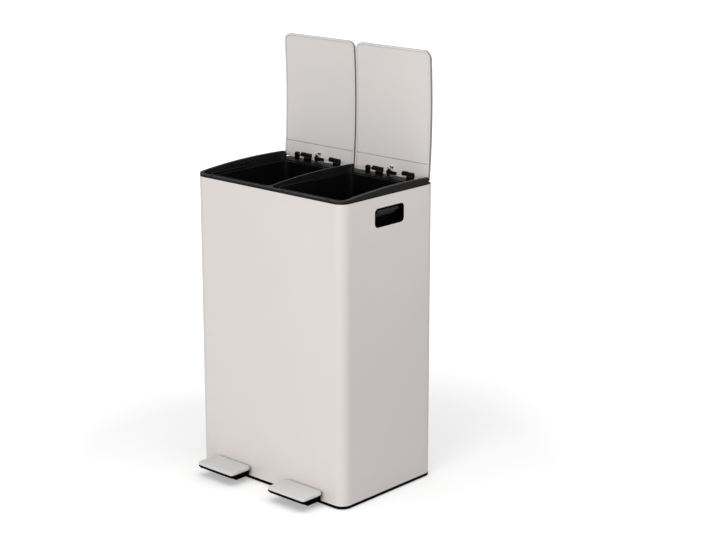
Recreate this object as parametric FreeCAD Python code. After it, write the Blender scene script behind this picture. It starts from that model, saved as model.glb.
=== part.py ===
import FreeCAD, Part
import math
import os

# Double recycling bin: one steel casing with two lift-out buckets, each under its own
# pedal-operated lid.  Millimetres, +Z up, front towards -Y.  The origin is the middle of
# the casing's footprint on the floor.  It is modelled with both lids open and both pedals
# down; a closed lid is turned back about its hinge line by LID_SWING degrees.

V = FreeCAD.Vector
X_AXIS = V(1, 0, 0)
Z_AXIS = V(0, 0, 1)

# ---------------------------------------------------------------- driving dimensions
# casing
CASING_WIDTH = 412.0
CASING_DEPTH = 278.4
CASING_TOP = 630.0
CASING_BOTTOM = 7.5
CASING_CORNER = 22.0
SHEET = 0.8
SEAM_WIDTH = 12.0
SEAM_GROOVE_WIDTH = 1.2
SEAM_GROOVE_DEPTH = 0.4

# arched top that the frame and both lids follow
ARCH_RADIUS = 1600.0
ARCH_PEAK = 645.8
ARCH_PEAK_SETBACK = 181.0

# top frame
FIT = 0.3
PLASTIC = 2.5
RIM_WIDTH = 11.0
FRONT_RIM_WIDTH = 10.0
DIVIDER = 4.0
FRAME_SKIRT = 18.0
LEDGE_TOP = 626.0
LEDGE_WIDTH = 5.0
OUTER_LEDGE_WIDTH = 13.0
REAR_OPENING_MARGIN = 16.0
OPENING_CORNER = 12.0
WALL_END_MARGIN = 0.5
DECK_TOP = 631.0

# hinge line and the row of hinge blocks along it, measured from each lid's middle
HINGE_SETBACK = 20.6
HINGE_DROP = 0.956
LID_SWING = 92.0
PIN_RADIUS = 1.75
PIN_RUNNING_FIT = 0.06
KNUCKLE_RADIUS = 4.2
KNUCKLE_DEPTH = 7.0
KNUCKLE_POCKET = 4.8
DAMPER_RADIUS = 3.4
WEB_BACK = 0.5
DAMPER_SPAN = (-66.0, -55.5)
LID_KNUCKLE_SPANS = ((-48.0, -36.0), (34.0, 48.4))
FRAME_KNUCKLE_SPANS = ((-35.2, -20.0), (49.2, 64.0))
HINGE_PIN_SPANS = ((-65.0, -20.4), (34.4, 63.6))
KNUCKLE_FOOT = 5.0
KNUCKLE_FOOT_HEIGHT = 3.0
SCREW_RADIUS = 1.5

# lids, as they lie when shut
LID_GAP = 4.0
LID_OUTER_MARGIN = 4.0
LID_FRONT_MARGIN = 1.5
LID_REAR_OVERHANG = 8.3
LID_RISE = 1.0
LID_HEIGHT = 6.4
LID_CORNER = 17.0
LID_REAR_CORNER = 3.0
LID_HEM = 7.0
LID_REAR_ROUND = 2.4
RAIL_DEPTH = 26.0
RAIL_PROUD = 0.4
LINER_OVERLAP = 4.0
BUFFER_RADIUS = 3.0
BUFFER_STEM = 1.2
BUFFER_INSET = 60.0

# lifter arm on each lid and the push rod under it
ROD_X = 3.0
ROD_REACH = 9.0
ROD_RADIUS = 2.5
ROD_SPIGOT = 1.5
ROD_TIP_LENGTH = 12.0
ROD_FOOT_RADIUS = 4.0
ROD_FOOT_HEIGHT = 5.0
ROD_GUIDE_LENGTH = 16.0
ROD_GUIDE_DROP = 16.0
ROD_GUIDE_WALL = 3.0
ROD_RUNNING_FIT = 0.08
ARM_THICKNESS = 1.5
ARM_WIDTH = 10.0
ARM_LENGTH = 15.5
ARM_PAD = 11.0
ARM_BAR_WIDTH = 26.0
ARM_BAR_REACH = 7.2
ARM_BAR_DROP = 1.0
ARM_OPEN_ANGLE = 46.0
ARM_CLEARANCE = 0.4
RIVET_RADIUS = 1.4
RIVET_HEAD_RADIUS = 2.2
RIVET_HEAD_HEIGHT = 0.8
RIVET_RISE = 8.0
RIVET_SPACING = 5.4
SLOT_MARGIN = 2.0

# side handle cups
CUP_LENGTH = 87.0
CUP_HEIGHT = 39.0
CUP_CENTRE_Y = -1.5
CUP_CORNER = 9.0
CUP_DEPTH = 19.0
CUP_WALL = 1.8
CUP_BEZEL = 4.0
CUP_BELOW_SKIRT = 1.0
CUP_STEP_HEIGHT = 13.0
CUP_STEP_DEPTH = 8.0

# base
GRIP_WIDTH = 6.0
GRIP_INSET = 4.0
GRIP_HEIGHT = 3.5
GRIP_GROOVE = 2.0
BASE_BOTTOM = 1.5
BASE_RING_WIDTH = 14.0
BASE_LEDGE = 3.0
BASE_PLAY = 0.15
BASE_FLOOR_TOP = 46.0
BASE_SKIRT_TOP = 60.0
SCREW_BOSS_RADIUS = 5.0
SCREW_BOSS_INSET = 30.0
SCREW_HEAD_RADIUS = 3.6
SCREW_HEAD_HEIGHT = 1.8
LUG_THICKNESS = 3.0
RIB_HEIGHT = 16.0

# pedals and their levers
PEDAL_SHARE = 0.5
PEDAL_WIDTH = 104.0
PEDAL_DEPTH = 58.5
PEDAL_GAP = 2.5
PEDAL_TOP = 31.0
PEDAL_PLATE_EDGE = 6.0
PEDAL_PLATE = 1.2
PEDAL_SKIRT_BOTTOM = 21.5
PEDAL_BODY_BOTTOM = 18.0
PEDAL_BODY_INSET = 3.0
PEDAL_FRONT_CORNER = 6.0
PEDAL_REAR_CORNER = 12.0
PEDAL_SHOE_BOTTOM = 11.0
PEDAL_SHOE_INSET = 4.0
LEVER_GRIP_WIDTH = 24.0
LEVER_PIVOT_SETBACK = 91.0
LEVER_PIVOT_Z = 25.0
LEVER_WIDTH = 12.0
LEVER_THICKNESS = 3.0
LEVER_FRONT_Z = 16.0
LEVER_INSET = 14.0
LEVER_CRANK_SETBACK = 51.0
LEVER_REAR_Z = 33.0
LEVER_BEND_SETBACK = 161.0
LEVER_TAIL = 9.0
LEVER_HUB_RADIUS = 6.0
LEVER_PIN_RADIUS = 3.0
LEVER_EAR = 4.0
LEVER_SIDE_PLAY = 0.5
LEVER_SLOT_SIDE = 3.0
LEVER_SLOT_ABOVE = 2.0
LEVER_SLOT_BELOW = 2.5
ROD_FOOT_GAP = 0.4

# buckets and their bails
BUCKET_PLAY = 1.0
BUCKET_WALL = 2.0
BUCKET_FLANGE = 3.0
BUCKET_BOTTOM = 52.0
BUCKET_TAPER = 8.0
BUCKET_CORNER = 16.0
BAIL_RADIUS = 1.7
BAIL_PIN_RADIUS = 1.4
BAIL_INSET = 9.0
BAIL_OVERRUN = 0.8
BAIL_BEND = 14.0
BAIL_EAR_LENGTH = 10.0
BAIL_EAR_HEIGHT = 7.0
BAIL_EAR_WIDTH = 4.0
BAIL_LIFT = 3.2

# ---------------------------------------------------------------- worked out from those
FRONT = -CASING_DEPTH / 2
REAR = CASING_DEPTH / 2
SIDE = CASING_WIDTH / 2
ARCH_CENTRE_Z = ARCH_PEAK - ARCH_RADIUS
ARCH_PEAK_Y = FRONT + ARCH_PEAK_SETBACK
HINGE_Y = REAR - HINGE_SETBACK
HINGE_Z = (ARCH_CENTRE_Z + math.sqrt(ARCH_RADIUS ** 2 - (HINGE_Y - ARCH_PEAK_Y) ** 2)
           - HINGE_DROP)
OPENING_REAR = HINGE_Y - REAR_OPENING_MARGIN
WALL_END = HINGE_Y - WALL_END_MARGIN
INNER = SHEET + FIT
WELL_INNER = DIVIDER / 2
WELL_OUTER = SIDE - RIM_WIDTH
WELL_FRONT = FRONT + FRONT_RIM_WIDTH
LID_INNER = LID_GAP / 2
LID_OUTER = SIDE - LID_OUTER_MARGIN
LID_MIDDLE = (LID_INNER + LID_OUTER) / 2
LID_FRONT = FRONT + LID_FRONT_MARGIN
LID_REAR = HINGE_Y + LID_REAR_OVERHANG
ROD_Y = HINGE_Y - ROD_REACH
RIVET_Y = HINGE_Y - RIVET_RISE
HEAD_SEAT = LID_RISE - RAIL_PROUD - ARM_THICKNESS
SLOT_HALF = ARM_WIDTH / 2 + SLOT_MARGIN
ARM_TOE = ROD_REACH * math.tan(math.radians(ARM_OPEN_ANGLE))
ARM_SHUT_ANGLE = ARM_OPEN_ANGLE - LID_SWING
ARM_SHUT_TOE = ROD_REACH * math.tan(math.radians(ARM_SHUT_ANGLE))
ROD_TRAVEL = ARM_TOE - ARM_SHUT_TOE
STEEPEST = math.radians(max(abs(ARM_OPEN_ANGLE), abs(ARM_SHUT_ANGLE)))
TIP_DROP = (ROD_RADIUS + ARM_THICKNESS / 2 + ARM_CLEARANCE) / math.cos(STEEPEST)
TIP_CENTRE_Z = HINGE_Z + ARM_TOE - TIP_DROP
CUP_CENTRE_Z = CASING_TOP - FRAME_SKIRT - CUP_BELOW_SKIRT - CUP_BEZEL - CUP_HEIGHT / 2
PEDAL_SPACING = CASING_WIDTH * PEDAL_SHARE
PEDAL_REAR = FRONT - PEDAL_GAP
PEDAL_FRONT = PEDAL_REAR - PEDAL_DEPTH
LEVER_FRONT_Y = PEDAL_FRONT + LEVER_INSET
LEVER_CRANK_Y = FRONT + LEVER_CRANK_SETBACK
LEVER_PIVOT_Y = FRONT + LEVER_PIVOT_SETBACK
LEVER_REAR_BEND_Y = FRONT + LEVER_BEND_SETBACK
LEVER_REAR_ARM = ROD_Y - LEVER_PIVOT_Y
PEDAL_SWING = math.degrees(math.asin(ROD_TRAVEL / LEVER_REAR_ARM))
FLOOR_UNDERSIDE = BASE_FLOOR_TOP - PLASTIC
TALL = 2 * ARCH_PEAK

HINGE_POINT = V(0, HINGE_Y, HINGE_Z)


# ---------------------------------------------------------------- shape helpers
def arch_z(y, offset=0.0):
    """Height of the arched top at y, raised by offset."""
    return ARCH_CENTRE_Z + math.sqrt((ARCH_RADIUS + offset) ** 2 - (y - ARCH_PEAK_Y) ** 2)


def outline(x0, x1, y0, y1, front=0.0, rear=None):
    """A rectangle in plan with rounded front and rear corners, as a face at z = 0."""
    rear = front if rear is None else rear
    corners = (
        (x0, y0, 1, 1, front),
        (x1, y0, -1, 1, front),
        (x1, y1, -1, -1, rear),
        (x0, y1, 1, -1, rear),
    )
    edges = []
    last = None
    first = None
    for number, (x, y, sx, sy, radius) in enumerate(corners):
        along_x = V(x + sx * radius, y, 0)
        along_y = V(x, y + sy * radius, 0)
        enter, leave = (along_y, along_x) if number % 2 == 0 else (along_x, along_y)
        if last is not None and last.distanceToPoint(enter) > 1e-6:
            edges.append(Part.LineSegment(last, enter).toShape())
        if radius > 0:
            turn = radius * (1 - math.sqrt(0.5))
            middle = V(x + sx * turn, y + sy * turn, 0)
            edges.append(Part.Arc(enter, middle, leave).toShape())
        first = first or enter
        last = leave
    edges.append(Part.LineSegment(last, first).toShape())
    return Part.Face(Part.Wire(edges))


def prism(face, z0, z1):
    """A plan face raised from z0 to z1."""
    lifted = face.copy()
    lifted.translate(V(0, 0, z0))
    return lifted.extrude(V(0, 0, z1 - z0))


def box(x0, x1, y0, y1, z0, z1):
    return Part.makeBox(x1 - x0, y1 - y0, z1 - z0, V(x0, y0, z0))


def rod(x, y, z, radius, length, direction=Z_AXIS):
    return Part.makeCylinder(radius, length, V(x, y, z), direction)


def side_prism(points, x0, x1):
    """A closed outline of (y, z) points carried from x0 to x1."""
    wire = Part.makePolygon([V(x0, y, z) for y, z in points + points[:1]])
    return Part.Face(wire).extrude(V(x1 - x0, 0, 0))


def under_arch(offset):
    """Everything below the arched top raised by offset."""
    barrel = Part.makeCylinder(
        ARCH_RADIUS + offset,
        2 * CASING_WIDTH,
        V(-CASING_WIDTH, ARCH_PEAK_Y, ARCH_CENTRE_Z),
        X_AXIS,
    )
    return barrel.common(box(-SIDE * 2, SIDE * 2, FRONT * 3, REAR * 3, 0, TALL))


def fused(shapes):
    first, rest = shapes[0], shapes[1:]
    return (first.multiFuse(rest) if rest else first).removeSplitter()


def mirrored(shape):
    """The same piece on the other side of the divider."""
    return shape.mirror(V(0, 0, 0), X_AXIS)


def turned(shape, point, degrees):
    """A copy turned about the X direction through point."""
    copy = shape.copy()
    copy.rotate(point, X_AXIS, degrees)
    return copy


def opened(shape):
    """A lid piece drawn shut, swung up to where it stands open."""
    return turned(shape, HINGE_POINT, -LID_SWING)


def export(name, shape):
    shape.exportStep("parts/" + name + ".step")


# ---------------------------------------------------------------- casing
def casing_outline(inset):
    return outline(
        -SIDE + inset, SIDE - inset, FRONT + inset, REAR - inset, CASING_CORNER - inset
    )


def cup_profile(grow, depth_from, depth_to):
    """The handle cup's rounded opening in the right side wall, carried inwards."""
    half = CUP_LENGTH / 2 + grow
    tall = CUP_HEIGHT / 2 + grow
    face = outline(-half, half, -tall, tall, CUP_CORNER + grow)
    solid = face.extrude(V(0, 0, depth_to - depth_from))
    solid.rotate(V(0, 0, 0), X_AXIS, 90)
    solid.rotate(V(0, 0, 0), Z_AXIS, -90)
    solid.translate(V(SIDE - depth_from, CUP_CENTRE_Y, CUP_CENTRE_Z))
    return solid


def lever_slot(x, margin, y0, y1):
    """Room for a pedal lever where it passes a wall, from pedal down to pedal up."""
    rise = (LEVER_PIVOT_Y - FRONT) * math.tan(math.radians(PEDAL_SWING))
    half = LEVER_WIDTH / 2 + LEVER_SLOT_SIDE + margin
    low = LEVER_FRONT_Z - LEVER_THICKNESS - LEVER_SLOT_BELOW - margin
    high = LEVER_FRONT_Z + rise + LEVER_SLOT_ABOVE + margin
    slot = outline(x - half, x + half, low, high, min(half, (high - low) / 2) * 0.8)
    solid = slot.extrude(V(0, 0, y1 - y0))
    solid.rotate(V(0, 0, 0), X_AXIS, 90)
    solid.translate(V(0, y1, 0))
    return solid


def outer_casing():
    shell = prism(casing_outline(0), CASING_BOTTOM, CASING_TOP)
    shell = shell.cut(prism(casing_outline(SHEET), CASING_BOTTOM - 1, CASING_TOP + 1))
    seam = box(
        -SEAM_WIDTH / 2, SEAM_WIDTH / 2,
        REAR - 2 * SHEET, REAR - SHEET,
        BASE_SKIRT_TOP + 1, CASING_TOP - FRAME_SKIRT - 1,
    )
    shell = shell.fuse(seam)
    groove = box(
        SEAM_WIDTH / 2 - SEAM_GROOVE_WIDTH, SEAM_WIDTH / 2,
        REAR - SEAM_GROOVE_DEPTH, REAR + 1,
        CASING_BOTTOM - 1, CASING_TOP + 1,
    )
    cuts = [groove]
    hand_hole = cup_profile(0, -1, SHEET + 1)
    cuts += [hand_hole, mirrored(hand_hole)]
    for middle in LID_MIDDLES:
        cuts.append(lever_slot(middle + ROD_X, 0, FRONT - 1, FRONT + SHEET + 1))
    return shell.cut(cuts).removeSplitter()


# ---------------------------------------------------------------- top frame
def well(inset, outer_inset=None, z0=0.0, z1=TALL):
    """The right-hand opening through the frame, drawn in by inset on each side."""
    outer = inset if outer_inset is None else outer_inset
    corner = max(OPENING_CORNER - inset, 2.0)
    face = outline(
        WELL_INNER + inset, WELL_OUTER - outer,
        WELL_FRONT + inset, OPENING_REAR - inset, corner,
    )
    return prism(face, z0, z1)


def top_frame():
    ceiling = under_arch(0)
    rim = prism(casing_outline(0), CASING_TOP, TALL).common(ceiling)
    rim = rim.cut(box(-SIDE * 2, SIDE * 2, WALL_END, REAR * 2, DECK_TOP, TALL))
    hinge_bay = box(WELL_INNER, WELL_OUTER, OPENING_REAR, REAR * 2, DECK_TOP, TALL)
    rim = rim.cut([hinge_bay, mirrored(hinge_bay)])
    skirt = prism(casing_outline(INNER), CASING_TOP - FRAME_SKIRT, CASING_TOP)
    skirt = skirt.cut(
        prism(casing_outline(INNER + PLASTIC), CASING_TOP - FRAME_SKIRT - 1,
              LEDGE_TOP - PLASTIC)
    )
    body = rim.fuse(skirt)
    # hollow the rim from below, between the skirt and the walls of the two wells
    hollow = prism(casing_outline(INNER + PLASTIC), LEDGE_TOP - PLASTIC - 1, TALL)
    hollow = hollow.common(under_arch(-PLASTIC))
    hollow = hollow.cut(box(-SIDE * 2, SIDE * 2, OPENING_REAR - 1, REAR * 2,
                            DECK_TOP - PLASTIC, TALL))
    walls = [well(-PLASTIC, z1=TALL), mirrored(well(-PLASTIC, z1=TALL))]
    divider = box(-WELL_INNER - 1, WELL_INNER + 1, WELL_FRONT, OPENING_REAR, 0, TALL)
    hollow = hollow.cut(walls + [divider])
    body = body.cut(hollow)
    cuts = []
    for side in (well(0, z0=LEDGE_TOP), well(LEDGE_WIDTH, OUTER_LEDGE_WIDTH)):
        cuts += [side, mirrored(side)]
    body = body.cut(cuts)
    ridge = box(-WELL_INNER, WELL_INNER, WELL_FRONT - 1, WALL_END,
                LEDGE_TOP - PLASTIC, TALL).common(ceiling)
    body = body.fuse([ridge] + frame_knuckles() + rod_guide_sockets())
    holes = []
    for middle in LID_MIDDLES:
        x = middle + ROD_X
        half = SLOT_HALF
        holes.append(box(x - half, x + half, ROD_Y - ROD_RADIUS - SLOT_MARGIN,
                         HINGE_Y - SLOT_MARGIN, LEDGE_TOP - PLASTIC - 1, TALL))
        for start, end in HINGE_PIN_SPANS:
            holes.append(rod(middle + start, HINGE_Y, HINGE_Z, PIN_RADIUS,
                             end - start, X_AXIS))
        for x, y in buffer_places(middle):
            holes.append(rod(x, y, arch_z(y) - PLASTIC, BUFFER_STEM, 2 * PLASTIC))
    return body.cut(holes).removeSplitter()


def frame_knuckles():
    """Blocks on the rear deck that hold the hinge pins."""
    blocks = []
    for middle in LID_MIDDLES:
        for start, end in FRAME_KNUCKLE_SPANS:
            barrel = rod(middle + start, HINGE_Y, HINGE_Z, KNUCKLE_RADIUS,
                         end - start, X_AXIS)
            web = box(middle + start, middle + end,
                      HINGE_Y - KNUCKLE_DEPTH, HINGE_Y + WEB_BACK,
                      DECK_TOP - PLASTIC / 2, HINGE_Z)
            gusset = side_prism(
                [
                    (HINGE_Y - KNUCKLE_DEPTH - 1, HINGE_Z + 1),
                    (HINGE_Y - KNUCKLE_RADIUS * 0.8, HINGE_Z + 1),
                    (HINGE_Y - KNUCKLE_DEPTH - 1, HINGE_Z - KNUCKLE_DEPTH),
                ],
                middle + start - 1, middle + end + 1,
            )
            blocks.append(barrel.fuse(web.cut(gusset)))
    return blocks


def rod_guide_sockets():
    """Guides that hang from the rear deck and keep each push rod upright."""
    pieces = []
    for middle in LID_MIDDLES:
        x = middle + ROD_X
        top = DECK_TOP - PLASTIC - ROD_GUIDE_DROP
        radius = ROD_RADIUS + ROD_GUIDE_WALL
        tube = rod(x, ROD_Y, top - ROD_GUIDE_LENGTH, radius, ROD_GUIDE_LENGTH)
        half = SLOT_HALF
        for cheek in (x - half - PLASTIC, x + half):
            pieces.append(box(cheek, cheek + PLASTIC, ROD_Y - radius,
                              REAR - INNER - PLASTIC / 2,
                              top - ROD_GUIDE_LENGTH, DECK_TOP - PLASTIC / 2))
        bridge = box(x - half - PLASTIC / 2, x + half + PLASTIC / 2,
                     ROD_Y - radius / 2, ROD_Y + radius / 2,
                     top - ROD_GUIDE_LENGTH, top)
        bore = rod(x, ROD_Y, top - ROD_GUIDE_LENGTH - 1, ROD_RADIUS + ROD_RUNNING_FIT,
                   ROD_GUIDE_LENGTH + 2)
        pieces.append(tube.fuse(bridge).cut(bore))
    return pieces


def buffer_places(middle):
    """Where each lid's two rubber buffers sit on the front rim."""
    y = FRONT + FRONT_RIM_WIDTH / 2
    return [(middle - BUFFER_INSET, y), (middle + BUFFER_INSET, y)]


def lid_buffers():
    """Four rubber studs that the shut lids land on."""
    studs = []
    for middle in LID_MIDDLES:
        for x, y in buffer_places(middle):
            low = arch_z(y) - PLASTIC
            stem = rod(x, y, low, BUFFER_STEM, PLASTIC)
            head = rod(x, y, low, BUFFER_RADIUS, 2 * PLASTIC)
            cap = under_arch(LID_RISE - FIT).cut(under_arch(0))
            studs.append(stem.common(under_arch(0)).fuse(head.common(cap)))
    return Part.makeCompound([s.removeSplitter() for s in studs])


# ---------------------------------------------------------------- hinge hardware
def damper(middle):
    """Soft-close damper block round the end of the long hinge pin."""
    start, end = middle + DAMPER_SPAN[0], middle + DAMPER_SPAN[1]
    barrel = rod(start, HINGE_Y, HINGE_Z, DAMPER_RADIUS, end - start, X_AXIS)
    foot = box(start, end, HINGE_Y - DAMPER_RADIUS, HINGE_Y + WEB_BACK,
               DECK_TOP, HINGE_Z)
    bore = rod(start + 1, HINGE_Y, HINGE_Z, PIN_RADIUS, end - start, X_AXIS)
    return barrel.fuse(foot).cut(bore).removeSplitter()


def hinge_pins(middle):
    pins = []
    for start, end in HINGE_PIN_SPANS:
        pins.append(rod(middle + start, HINGE_Y, HINGE_Z, PIN_RADIUS, end - start, X_AXIS))
    return Part.makeCompound(pins)


# ---------------------------------------------------------------- lids
def lid_outline(middle, inset, front=None):
    half = (LID_OUTER - LID_INNER) / 2 - inset
    corner = max(LID_CORNER - inset, 1.0)
    rear = max(LID_REAR_CORNER - inset, 0.5)
    if front is None:
        return outline(middle - half, middle + half, LID_FRONT + inset, LID_REAR - inset,
                       corner, rear)
    return outline(middle - half, middle + half, front, LID_REAR - inset, 0.0, rear)


def between(face, low, high):
    """A plan face kept between two heights above the arch."""
    column = prism(face, CASING_TOP - FRAME_SKIRT, TALL)
    return column.common(under_arch(high).cut(under_arch(low)))


def hinge_pockets(middle):
    """Round clearances that let the lid turn past the fixed knuckles and the damper."""
    spans = list(FRAME_KNUCKLE_SPANS) + list(LID_KNUCKLE_SPANS) + [DAMPER_SPAN]
    pockets = []
    for start, end in spans:
        pockets.append(rod(middle + start - FIT * 2, HINGE_Y, HINGE_Z, KNUCKLE_POCKET,
                           end - start + FIT * 4, X_AXIS))
    start, end = HINGE_PIN_SPANS[0]
    pockets.append(rod(middle + start, HINGE_Y, HINGE_Z, PIN_RADIUS + FIT,
                       end - start, X_AXIS))
    return pockets


def lid_skin(middle):
    top = LID_RISE + LID_HEIGHT
    shell = between(lid_outline(middle, 0), LID_RISE, top)
    hollow = between(lid_outline(middle, SHEET), LID_RISE + SHEET, top - SHEET)
    mouth = between(lid_outline(middle, LID_HEM), LID_RISE - 1, LID_RISE + 2 * SHEET)
    shell = shell.cut([hollow, mouth] + hinge_pockets(middle))
    rear_edges = [
        e for e in shell.Edges
        if e.BoundBox.YLength < 0.01 and abs(e.BoundBox.YMin - LID_REAR) < 0.01
        and e.BoundBox.XLength > CASING_WIDTH / 4 and e.BoundBox.ZMin > HINGE_Z + LID_HEIGHT / 2
    ]
    if rear_edges:
        shell = shell.makeFillet(min(LID_REAR_ROUND, LID_HEIGHT / 2), rear_edges)
    return opened(shell.removeSplitter())


def lid_liner(middle):
    low = LID_RISE + SHEET
    face = lid_outline(middle, LID_HEM - LINER_OVERLAP)
    panel = between(face, low, low + SHEET)
    return opened(panel.cut(hinge_pockets(middle)).removeSplitter())


def hinge_rail(middle):
    face = lid_outline(middle, LID_HEM + FIT, front=HINGE_Y - RAIL_DEPTH)
    strip = between(face, LID_RISE - RAIL_PROUD, LID_RISE + SHEET)
    holes = [rod(x, RIVET_Y, 0, RIVET_RADIUS, TALL) for x in rivet_places(middle)]
    return opened(strip.cut(hinge_pockets(middle) + holes).removeSplitter())


def rail_face(y):
    return arch_z(y, LID_RISE - RAIL_PROUD)


def lid_knuckles(middle):
    """Blocks on the hinge rail that turn on the pins."""
    blocks = []
    for start, end in LID_KNUCKLE_SPANS:
        x0, x1 = middle + start, middle + end
        barrel = rod(x0, HINGE_Y, HINGE_Z, KNUCKLE_RADIUS, x1 - x0, X_AXIS)
        foot = box(x0, x1, HINGE_Y - KNUCKLE_FOOT, HINGE_Y,
                   rail_face(HINGE_Y) - KNUCKLE_FOOT_HEIGHT, TALL)
        foot = foot.common(under_arch(LID_RISE - RAIL_PROUD))
        bore = rod(x0 - 1, HINGE_Y, HINGE_Z, PIN_RADIUS + PIN_RUNNING_FIT,
                   x1 - x0 + 2, X_AXIS)
        blocks.append(barrel.fuse(foot).cut(bore).removeSplitter())
    return opened(Part.makeCompound(blocks))


def rivet_places(middle):
    """X of the two rivets that hold the lifter arm."""
    x = middle + ROD_X
    return [x - RIVET_SPACING / 2, x + RIVET_SPACING / 2]


def arm_rivets(middle):
    """Two rivets through the lifter arm and the hinge rail."""
    rivets = []
    for x in rivet_places(middle):
        shank = rod(x, RIVET_Y, 0, RIVET_RADIUS, TALL)
        shank = shank.common(under_arch(LID_RISE + SHEET).cut(under_arch(HEAD_SEAT)))
        head = rod(x, RIVET_Y, 0, RIVET_HEAD_RADIUS, TALL)
        head = head.common(under_arch(HEAD_SEAT).cut(under_arch(HEAD_SEAT - RIVET_HEAD_HEIGHT)))
        rivets.append(shank.fuse(head).removeSplitter())
    return opened(Part.makeCompound(rivets))


def lifter_arm(middle):
    """Bent steel tab: a pad riveted to the rail and a tongue that the rod pushes."""
    x0 = middle + ROD_X - ARM_WIDTH / 2
    x1 = x0 + ARM_WIDTH
    pad = box(x0, x1, HINGE_Y - ARM_PAD, HINGE_Y, CASING_TOP, TALL)
    pad = pad.common(under_arch(LID_RISE - RAIL_PROUD).cut(under_arch(HEAD_SEAT)))
    tongue = box(x0, x1, HINGE_Y - ARM_LENGTH, HINGE_Y,
                 HINGE_Z - ARM_THICKNESS / 2, HINGE_Z + ARM_THICKNESS / 2)
    tongue = turned(tongue, HINGE_POINT, -ARM_SHUT_ANGLE)
    knee = side_prism(
        [
            (HINGE_Y - ARM_THICKNESS, HINGE_Z - ARM_THICKNESS / 2),
            (HINGE_Y + ARM_THICKNESS / 2, HINGE_Z - ARM_THICKNESS / 2),
            (HINGE_Y + ARM_THICKNESS / 2, TALL),
            (HINGE_Y - ARM_THICKNESS, TALL),
        ],
        x0, x1,
    ).common(under_arch(LID_RISE - RAIL_PROUD))
    bar_x = middle + ROD_X
    bar = box(bar_x - ARM_BAR_WIDTH / 2, bar_x + ARM_BAR_WIDTH / 2,
              HINGE_Y, HINGE_Y + ARM_BAR_REACH,
              HINGE_Z - ARM_BAR_DROP, TALL).common(under_arch(LID_RISE - RAIL_PROUD))
    arm = fused([pad, knee, tongue, bar])
    for x in rivet_places(middle):
        arm = arm.cut(rod(x, RIVET_Y, 0, RIVET_RADIUS, TALL))
    return opened(arm)


# ---------------------------------------------------------------- push rods
def push_rod(middle):
    x = middle + ROD_X
    low = LEVER_REAR_Z + ROD_FOOT_GAP + ROD_FOOT_HEIGHT
    shaft = rod(x, ROD_Y, low, ROD_RADIUS, TIP_CENTRE_Z - ROD_TIP_LENGTH - low)
    upper = rod(x, ROD_Y, low, ROD_SPIGOT, TIP_CENTRE_Z - ROD_TIP_LENGTH / 4 - low)
    lower = rod(x, ROD_Y, low - ROD_FOOT_HEIGHT / 2, ROD_SPIGOT, ROD_FOOT_HEIGHT)
    return fused([shaft, upper, lower])


def rod_tip(middle):
    """Plastic cap that slides under the lifter arm."""
    x = middle + ROD_X
    low = TIP_CENTRE_Z - ROD_TIP_LENGTH
    cap = fused([
        rod(x, ROD_Y, low, ROD_RADIUS, ROD_TIP_LENGTH),
        Part.makeSphere(ROD_RADIUS, V(x, ROD_Y, TIP_CENTRE_Z)),
    ])
    return cap.cut(rod(x, ROD_Y, low - 1, ROD_SPIGOT, ROD_TIP_LENGTH * 3 / 4 + 1))


def rod_foot(middle):
    """Plastic button that stands on the end of the pedal lever."""
    x = middle + ROD_X
    low = LEVER_REAR_Z + ROD_FOOT_GAP
    block = rod(x, ROD_Y, low, ROD_FOOT_RADIUS, ROD_FOOT_HEIGHT)
    ball = Part.makeSphere(2 * ROD_FOOT_RADIUS, V(x, ROD_Y, low + 2 * ROD_FOOT_RADIUS))
    block = block.common(ball.fuse(rod(x, ROD_Y, low + 2 * ROD_FOOT_RADIUS,
                                       ROD_FOOT_RADIUS, ROD_FOOT_HEIGHT)))
    return block.cut(rod(x, ROD_Y, low + ROD_FOOT_HEIGHT / 2, ROD_SPIGOT,
                         ROD_FOOT_HEIGHT))


# ---------------------------------------------------------------- pedals
def pedal_outline(x, inset):
    half = PEDAL_WIDTH / 2 - inset
    return outline(x - half, x + half, PEDAL_FRONT + inset, PEDAL_REAR - inset,
                   max(PEDAL_FRONT_CORNER - inset, 0.5), PEDAL_REAR_CORNER - inset)


def pedal_cover(x):
    low = PEDAL_TOP - PEDAL_PLATE_EDGE
    tray = prism(pedal_outline(x, 0), low, PEDAL_TOP)
    upper = [e for e in tray.Edges if e.BoundBox.ZMin > PEDAL_TOP - 0.01]
    tray = tray.makeFillet(PEDAL_PLATE, upper)
    return tray.cut(prism(pedal_outline(x, PEDAL_PLATE), low - 1, PEDAL_TOP - PEDAL_PLATE))


def shoe_profile(wall):
    """Side view of the box under the tread, drawn in by wall and open below if drawn in."""
    front = LEVER_FRONT_Y - PLASTIC + wall
    rear = PEDAL_REAR - 2 * PEDAL_PLATE - wall
    top = PEDAL_TOP - PEDAL_PLATE - PLASTIC / 2 - wall / 2
    low = PEDAL_SHOE_BOTTOM - (1 if wall == PLASTIC else 0)
    return [(front, top), (front, LEVER_FRONT_Z), (front + 2 * PLASTIC, low),
            (rear, low), (rear, top)]


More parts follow.
